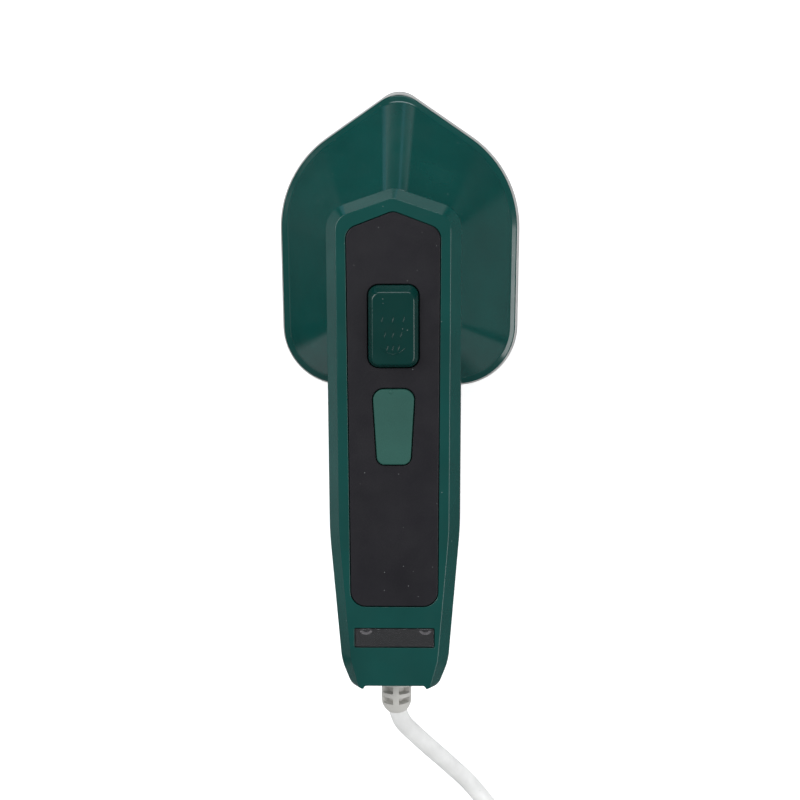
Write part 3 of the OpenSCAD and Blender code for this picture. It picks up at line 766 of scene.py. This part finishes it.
def make_handle_top():
    top = loft("handle_top_frame", [
        (handle_outline(0), PARTING_Z + 0.05), (handle_outline(0), FRAME_CORNER_Z),
        (handle_top_outline(), TOP_Z)
    ])
    cut(
        top,
        loft("hollow", [
            (handle_outline(WALL), PARTING_Z - 1), (handle_outline(WALL), FRAME_CORNER_Z - 1.1),
            (handle_outline(CHAMFER_W + 1.2), CEILING_Z)
        ]),
        prism("panel_seat", outline(PANEL_POINTS, PANEL_RADII, -PANEL_GAP, 10),
              TOP_Z - PANEL_T - 0.1, TOP_Z + 5),
        prism("panel_opening", outline(PANEL_POINTS, PANEL_RADII, 1.8, 10),
              CEILING_Z - 1, TOP_Z + 5),
        prism("window_opening", window_outline(0.3), CEILING_Z - 1, TOP_Z + 5),
        rear_recess()
    )
    soften(top, 0.4, 22, 3)
    settle(top, HOUSING, "green_gloss", stands_for=("handle_upper_shell",))


def underside_ring(reach):
    """A ring of the rounded lower edge: reach is 0 at the side wall and 1 at the bottom."""
    angle = reach * math.pi / 2
    return (handle_outline(LOWER_EDGE_R * (1 - math.cos(angle))),
            GRIP_Z + LOWER_EDGE_R * (1 - math.sin(angle)))


def make_handle_underside():
    lower = loft("handle_underside", [underside_ring(1 - i / 6) for i in range(7)]
                 + [(handle_outline(0), PARTING_Z - 0.05)])
    inner = loft("hollow", [
        (handle_outline(WALL + 6), GRIP_Z + WALL),
        (handle_outline(WALL + 2.2), GRIP_Z + WALL + 1.8),
        (handle_outline(WALL), GRIP_Z + 7), (handle_outline(WALL), PARTING_Z + 1)
    ])
    cut(inner, prism("neck_floor", box_points(-50, 50, NECK_ROOM_REAR - WALL, 60), 0, NECK_Z - 0.4))
    cut(lower, inner)
    for at in HANDLE_SCREWS:
        add(lower, prism("boss", circle_points(at, 3.2), GRIP_Z + 1.8, PARTING_Z - 0.2))
    cut(lower, prism("neck_room", box_points(-50, 50, NECK_ROOM_REAR, 60), 0, NECK_Z))
    for at in HANDLE_SCREWS:
        cut(lower, prism("counterbore", circle_points(at, 2.7, 40), GRIP_Z - 1, GRIP_Z + 4.9),
            prism("screw_hole", circle_points(at, 1.45, 32), GRIP_Z - 1, PARTING_Z + 1))
    cut(
        lower,
        prism("filler_seat", circle_points(FILLER_AT, 6.8, 64), GRIP_Z - 1, GRIP_Z + 4.9),
        lathe("cord_mouth", [(5.35, 0), (5.35, 12)], (0, RECESS_Y - 5, CORD_Z), 48, "Y"),
        rear_recess()
    )
    soften(lower, 0.3, 24, 3)
    settle(lower, HOUSING, "green_gloss", stands_for=("handle_lower_shell",))


def button_hole(points, radii):
    return prism("hole", outline(points, radii, -BUTTON_GAP, 10), TOP_Z - 5, TOP_Z + 5)


def make_grip_panel():
    panel = prism("grip_insert", outline(PANEL_POINTS, PANEL_RADII, 0, 12), TOP_Z - PANEL_T, TOP_Z)
    cut(panel, button_hole(STEAM_POINTS, STEAM_RADII), button_hole(POWER_POINTS, POWER_RADII))
    soften(panel, 0.25, 30, 3)
    settle(panel, HOUSING, "black_satin", stands_for=("grip_panel",))


def round_line(name, points, width):
    """A thin line with a round section along (x, y, z) points."""
    data = bpy.data.curves.new(name, "CURVE")
    data.dimensions = "3D"
    spline = data.splines.new("POLY")
    spline.points.add(len(points) - 1)
    for point, place in zip(spline.points, points):
        point.co = (*(Vector(place) * MM), 1)
    data.bevel_depth = width / 2 * MM
    data.bevel_resolution = 3
    data.use_fill_caps = True
    line = link(name, data)
    graph = bpy.context.evaluated_depsgraph_get()
    mesh = bpy.data.meshes.new_from_object(line.evaluated_get(graph))
    bpy.data.objects.remove(line)
    return link(name, mesh)


def steam_pattern():
    """Rows of small rising wisps over a shallow dish."""
    lines = []
    for front, spacing in ((-24.9, 3.6), (-30, 2.7), (-34.4, 1.9)):
        for column in (-1, 0, 1):
            lines.append([(column * spacing + 0.22 * math.sin(2 * math.pi * k / 8),
                           front - 2.6 * k / 8, WISP_Z) for k in range(9)])
    reach, drop = 4.1, 2.1
    lines.append([(reach * k / 10, -37.7 + drop * (k / 10) ** 2, WISP_Z) for k in range(-10, 11)])
    pattern = joined([round_line("steam_wisps", points, 0.4) for points in lines])
    pattern.data.shade_smooth()
    return pattern


def make_steam_button():
    flange = outline(STEAM_POINTS, STEAM_RADII, -1.2, 10)
    side = outline(STEAM_POINTS, STEAM_RADII, 0, 10)
    top = outline(STEAM_TOP_POINTS, STEAM_TOP_RADII, 0, 10)
    key = loft("steam_key_cap", [
        (flange, FLANGE_TOP - FLANGE_T), (flange, FLANGE_TOP), (side, FLANGE_TOP),
        (side, 63.6), (top, STEAM_TOP)
    ])
    soften(key, 0.55, 20, 4)
    settle(key, STEAM, "green_gloss", "green_key", (STEAM,))
    settle(steam_pattern(), STEAM, "green_gloss", "green_key")


def make_pump_spring():
    """The pump's return spring, coiled up to just under the steam button's flange."""
    low, high, steps = SPRING_LOW_Z, FLANGE_TOP - FLANGE_T - 0.6, 32
    line = []
    for i in range(SPRING_TURNS * steps + 1):
        angle = 2 * math.pi * i / steps
        line.append((PUMP_AT[0] + SPRING_R * math.cos(angle),
                     PUMP_AT[1] + SPRING_R * math.sin(angle),
                     low + (high - low) * i / (SPRING_TURNS * steps)))
    spring = round_line("pump_return_spring", line, SPRING_WIRE)
    spring.data.shade_smooth()
    settle(spring, HOUSING, "steel", stands_for=("pump_spring",))
    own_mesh(spring)


def make_power_button():
    flange = outline(POWER_POINTS, POWER_RADII, -1.1, 10)
    side = outline(POWER_POINTS, POWER_RADII, 0, 10)
    key = loft("power_key_cap", [
        (flange, FLANGE_TOP - FLANGE_T), (flange, FLANGE_TOP), (side, FLANGE_TOP), (side, POWER_TOP)
    ])
    soften(key, 0.45, 30, 4)
    settle(key, POWER, "green_matte", stands_for=(POWER,))
    nub = lathe("power_key_nub", [(0.9, -0.4), (0.85, -0.05), (0.6, 0.12), (0.2, 0.18)],
                (-0.9, -50.4, POWER_TOP), 24)
    smooth_only(nub, 70)
    settle(nub, POWER, "green_matte")


def make_window():
    cover = prism("window_cover", window_outline(0, 0.5), TOP_Z - 1.3, TOP_Z - 0.1)
    soften(cover, 0.2, 30, 3)
    settle(cover, HOUSING, "smoked_clear", stands_for=("indicator_window",))
    tray = prism("window_tray", window_outline(0.25, 0.6), CEILING_Z - 1.2, TOP_Z - 1.35)
    cut(tray, prism("tray_room", window_outline(-0.5, 0.4), CEILING_Z - 0.6, TOP_Z + 1))
    soften(tray, 0.12, 30, 2)
    settle(tray, HOUSING, "black_satin", "dark_recess")
    angles = [math.radians(200 + 140 * i / REFLECTOR_STEPS) for i in range(REFLECTOR_STEPS + 1)]
    arc = [(math.cos(angle), math.sin(angle)) for angle in angles]
    # The reflectors wear the reflector material, whose faint emission is a painted glow.
    for side, name in ((-1, "reflector_left"), (1, "reflector_right")):
        centre = (side * 10 + 0.3, WINDOW_Y + 1.5, CEILING_Z - 0.6)
        rings = [
            [Vector(centre) + Vector((u * radius_x, v * radius_y + 0.9, z)) for u, v in arc]
            for radius_x, radius_y, z in REFLECTOR_SECTION
        ]
        settle(reflector(name, rings), HOUSING, "led", "reflector")
    strip = prism("window_rail", box_points(-6.6, 6.6, WINDOW_Y - 1.7, WINDOW_Y - 1.1, 0.2),
                  CEILING_Z - 0.5, CEILING_Z + 0.3)
    for x in (-5.4, -2.2, 1.6, 3.8):
        block = box_points(x, x + 1.5, WINDOW_Y - 1.6, WINDOW_Y + 0.9, 0.2)
        add(strip, prism("rail_block", block, CEILING_Z - 0.55, CEILING_Z + 0.1))
    soften(strip, 0.08, 30, 2)
    settle(strip, HOUSING, "black_satin", "phenolic")


def reflector(name, rings):
    """A curved strip with thickness: rings are open rows of points that go round its section."""
    bm = bmesh.new()
    rows = [[bm.verts.new(p * MM) for p in row] for row in rings]
    count = len(rows[0])
    for i in range(len(rows)):
        low, high = rows[i], rows[(i + 1) % len(rows)]
        for k in range(count - 1):
            bm.faces.new((low[k], low[k + 1], high[k + 1], high[k]))
    bm.faces.new([row[0] for row in rows])
    bm.faces.new([row[-1] for row in rows])
    piece = built(name, bm)
    smooth_only(piece, 40)
    return piece


def make_filler_plug():
    disc = lathe("filler_bung", [
        (2.4, 4.7), (4.2, 4.7), (4.54, 4.3), (4.54, -0.1), (6.2, -0.15), (7.7, -0.15),
        (8, -0.45), (8, -1.5), (7.6, -1.88), (5, -1.9)
    ], (*FILLER_AT, GRIP_Z))
    tab = box_points(-3, 3, FILLER_AT[1] - 12, FILLER_AT[1] - 6, 1.4)
    add(disc, prism("tab", tab, GRIP_Z - 1.88, GRIP_Z - 0.5))
    for k in range(3):
        y = FILLER_AT[1] - 11 + 1.1 * k
        groove = box_points(-2, 2, y - 0.25, y + 0.25, 0.2)
        cut(disc, prism("rib", groove, GRIP_Z - 3, GRIP_Z - 1.6))
    soften(disc, 0.15, 35, 2)
    settle(disc, FILLER, "dark_silicone", stands_for=(FILLER,))


# ---- Strain relief ----

RELIEF_ROUTE = [
    (0, -146, 44.5), (0, -148.5, 44.5), (0, -151.5, 44.5), (-0.1, -155, 44.3),
    (-0.1, -158.3, 43.6), (0.1, -161.5, 42.5)
]
RELIEF_PARTS = 14
RELIEF_SIDES = 96
RELIEF_R = 5.1
RELIEF_END_R = 3.75
SLOT_ROWS = ((-153.2, -154.9), (-156.2, -157.9))
SLOT_DEPTH = 2.2
WEB_HALF = 1.05
SLOT_END = 4.55


def relief_radius(y, across):
    """The sleeve's radius: straight, then tapered, with slots pressed in beside a web."""
    taper = min(max((-158.5 - y) / 3, 0), 1)
    radius = RELIEF_R + (RELIEF_END_R - RELIEF_R) * taper ** 1.6
    for front, rear in SLOT_ROWS:
        if rear <= y <= front and WEB_HALF < abs(across) * radius < SLOT_END:
            return radius - SLOT_DEPTH
    return radius


def make_strain_relief():
    line = through(RELIEF_ROUTE, RELIEF_PARTS)
    rings = []
    for i, place in enumerate(line):
        ahead = (line[min(i + 1, len(line) - 1)] - line[max(i - 1, 0)]).normalized()
        side = ahead.cross(Vector((0, 0, 1))).normalized()
        up = side.cross(ahead)
        ring = []
        for k in range(RELIEF_SIDES):
            angle = 2 * math.pi * k / RELIEF_SIDES
            radius = relief_radius(place.y, math.cos(angle))
            ring.append(place + (side * math.cos(angle) + up * math.sin(angle)) * radius)
        rings.append(ring)
    sleeve = loft_3d("strain_relief_sleeve", rings)
    smooth_only(sleeve, 38)
    settle(sleeve, HOUSING, "relief_grey", stands_for=("strain_relief",))
    lining = lathe("cord_mouth_ring", [(5.25, 0), (5.3, 0.3), (5.3, 3.4), (5.18, 3.5), (5.15, 0.2)],
                   (0, RECESS_Y + 0.1, CORD_Z), 48, "Y")
    smooth_only(lining, 40)
    settle(lining, HOUSING, "phenolic")


# ---- Stage ----


def make_floor():
    mesh = bpy.data.meshes.new("floor")
    half = 3
    mesh.from_pydata([(-half, -half, 0), (half, -half, 0), (half, half, 0), (-half, half, 0)],
                     [], [(0, 1, 2, 3)])
    floor = link("floor", mesh)
    floor.location.z = -0.0003
    material = bpy.data.materials.new("floor_pale")
    material.use_nodes = True
    bsdf = material.node_tree.nodes["Principled BSDF"]
    bsdf.inputs["Base Color"].default_value = (0.86, 0.86, 0.86, 1)
    bsdf.inputs["Roughness"].default_value = 0.8
    bsdf.inputs["Emission Color"].default_value = (1, 1, 1, 1)
    bsdf.inputs["Emission Strength"].default_value = 0.42
    mesh.materials.append(material)
    floor.visible_glossy = False


def area_light(name, place, size, power, tint=(1, 1, 1), aim=(0, -0.05, 0.03)):
    data = bpy.data.lights.new(name, "AREA")
    data.shape = "RECTANGLE"
    data.size, data.size_y = size
    data.energy = power
    data.color = tint
    lamp = bpy.data.objects.new(name, data)
    bpy.context.scene.collection.objects.link(lamp)
    lamp.location = place
    lamp.rotation_euler = (Vector(aim) - Vector(place)).to_track_quat("-Z", "Y").to_euler()
    return lamp


def reflected_card(name, azimuth, distance, width, height, strength, tint):
    """A glowing card that shows only in reflections, upright round the floor line."""
    mesh = bpy.data.meshes.new(name)
    w, h = width / 2, height / 2
    mesh.from_pydata([(-w, 0, -h), (w, 0, -h), (w, 0, h), (-w, 0, h)], [], [(0, 1, 2, 3)])
    card = link(name, mesh)
    angle = math.radians(azimuth)
    card.location = (distance * math.sin(angle), distance * math.cos(angle), 0)
    card.rotation_euler = (0, 0, -angle)
    material = bpy.data.materials.new(name)
    material.use_nodes = True
    nodes = material.node_tree.nodes
    nodes.clear()
    glow = nodes.new("ShaderNodeEmission")
    glow.inputs["Color"].default_value = (*tint, 1)
    glow.inputs["Strength"].default_value = strength
    output = nodes.new("ShaderNodeOutputMaterial")
    material.node_tree.links.new(glow.outputs["Emission"], output.inputs["Surface"])
    mesh.materials.append(material)
    card.visible_camera = False
    card.visible_diffuse = False
    card.visible_shadow = False
    card.visible_transmission = False


# What the gloss sees low on the studio's horizon, and in a band just under it, which the
# chamfers see: (degrees round from +X, brightness)
LOW_HORIZON = (
    (0, 0.14), (17, 0.14), (24, 0.03), (60, 0.02), (68, 0.08), (110, 0.08), (121, 0.02), (137, 0.01),
    (142, 0.08), (181, 0.09), (184, 0.01), (203, 0.02), (212, 0.27), (248, 0.24), (262, 0.06),
    (285, 0.06), (300, 0.2), (333, 0.22), (337, 0.02), (342, 0.03), (347, 0.14), (360, 0.14)
)
CHAMFER_BAND = (
    (0, 0.16), (12, 0.15), (30, 0.16), (44, 0.12), (51, 0.03), (59, 0.03), (66, 0.5), (82, 0.5),
    (87, 0.25), (93, 0.25), (98, 0.55), (114, 0.6), (120, 0.04), (130, 0.04), (137, 0.3), (155, 0.35),
    (172, 0.42), (188, 0.42), (200, 0.1), (250, 0.2), (300, 0.2), (345, 0.16), (360, 0.16)
)


def world_node(tree, kind, settings=(), inputs=()):
    """A node with its attributes set and its inputs wired or set."""
    node = tree.nodes.new(kind)
    for name, value in settings:
        setattr(node, name, value)
    for name, value in inputs:
        if isinstance(value, bpy.types.NodeSocket):
            tree.links.new(value, node.inputs[name])
        else:
            node.inputs[name].default_value = value
    return node


def world_maths(tree, operation, *values):
    return world_node(tree, "ShaderNodeMath", (("operation", operation),),
                      tuple(enumerate(values))).outputs["Value"]


def world_range(tree, value, low, high):
    return world_node(tree, "ShaderNodeMapRange", inputs=(
        ("Value", value), ("From Min", low), ("From Max", high))).outputs["Result"]


def horizon_ramp(tree, turn, stops):
    ramp = world_node(tree, "ShaderNodeValToRGB", inputs=(("Fac", turn),))
    elements = ramp.color_ramp.elements
    while len(elements) < len(stops):
        elements.new(0.5)
    for element, (degrees, level) in zip(elements, stops):
        element.position = degrees / 360
        element.color = (level, level * 1.03, level * 1.08, 1)
    return ramp.outputs["Color"]


def mixed_colour(tree, factor, first, second):
    return world_node(tree, "ShaderNodeMix", (("data_type", "RGBA"),),
                      (("Factor", factor), (6, first), (7, second))).outputs[2]


def make_world():
    """A pale room that lights evenly, with a dim horizon and a soft ceiling in reflections."""
    world = bpy.data.worlds.new("studio")
    bpy.context.scene.world = world
    world.use_nodes = True
    tree = world.node_tree
    where = tree.nodes.new("ShaderNodeTexCoord").outputs["Generated"]
    split = world_node(tree, "ShaderNodeSeparateXYZ", inputs=(("Vector", where),))
    angle = world_maths(tree, "ARCTAN2", split.outputs["Y"], split.outputs["X"])
    part = world_maths(tree, "DIVIDE", angle, 2 * math.pi)
    turn = world_maths(tree, "WRAP", part, 1.0, 0.0)
    height = split.outputs["Z"]
    up = world_range(tree, height, 0.25, 0.7)
    over = world_range(tree, height, -0.12, -0.15)
    under = world_range(tree, height, -0.34, -0.3)
    band = world_maths(tree, "MULTIPLY", over, under)
    horizon = horizon_ramp(tree, turn, LOW_HORIZON)
    low = mixed_colour(tree, band, horizon, horizon_ramp(tree, turn, CHAMFER_BAND))
    gloss = mixed_colour(tree, up, low, (0.13, 0.14, 0.15, 1))
    rays = tree.nodes.new("ShaderNodeLightPath").outputs
    room = mixed_colour(tree, rays["Is Glossy Ray"], (0.68, 0.69, 0.7, 1), gloss)
    seen = mixed_colour(tree, rays["Is Camera Ray"], room, (1, 1, 1, 1))
    tree.links.new(seen, tree.nodes["Background"].inputs["Color"])


def make_stage():
    make_floor()
    make_world()
    area_light("key", (-0.75, 0.35, 1.1), (0.8, 0.8), 9)
    area_light("fill", (0.85, -0.3, 0.9), (0.7, 0.7), 6)
    area_light("back", (0.1, 1.2, 0.6), (0.9, 0.4), 5, (0.9, 0.96, 1))
    reflected_card("tip_card_left", -29, 1.1, 0.16, 0.5, 0.6, (0.45, 0.75, 1))
    reflected_card("tip_card_right", 8, 1.1, 0.1, 0.5, 0.6, (0.45, 0.75, 1))
    bpy.context.scene.view_settings.view_transform = "Standard"


# ---- Building the scene ----

make_camera()
make_materials()
dress_frame()
cord_piece = make_cord()
tie_piece = make_tie()
plug_piece, pins_piece = make_plug()
make_soleplate()
make_head_shell()
make_handle_top()
make_handle_underside()
make_grip_panel()
make_steam_button()
make_pump_spring()
make_power_button()
make_window()
make_filler_plug()
make_strain_relief()
make_stage()

bpy.context.view_layer.update()
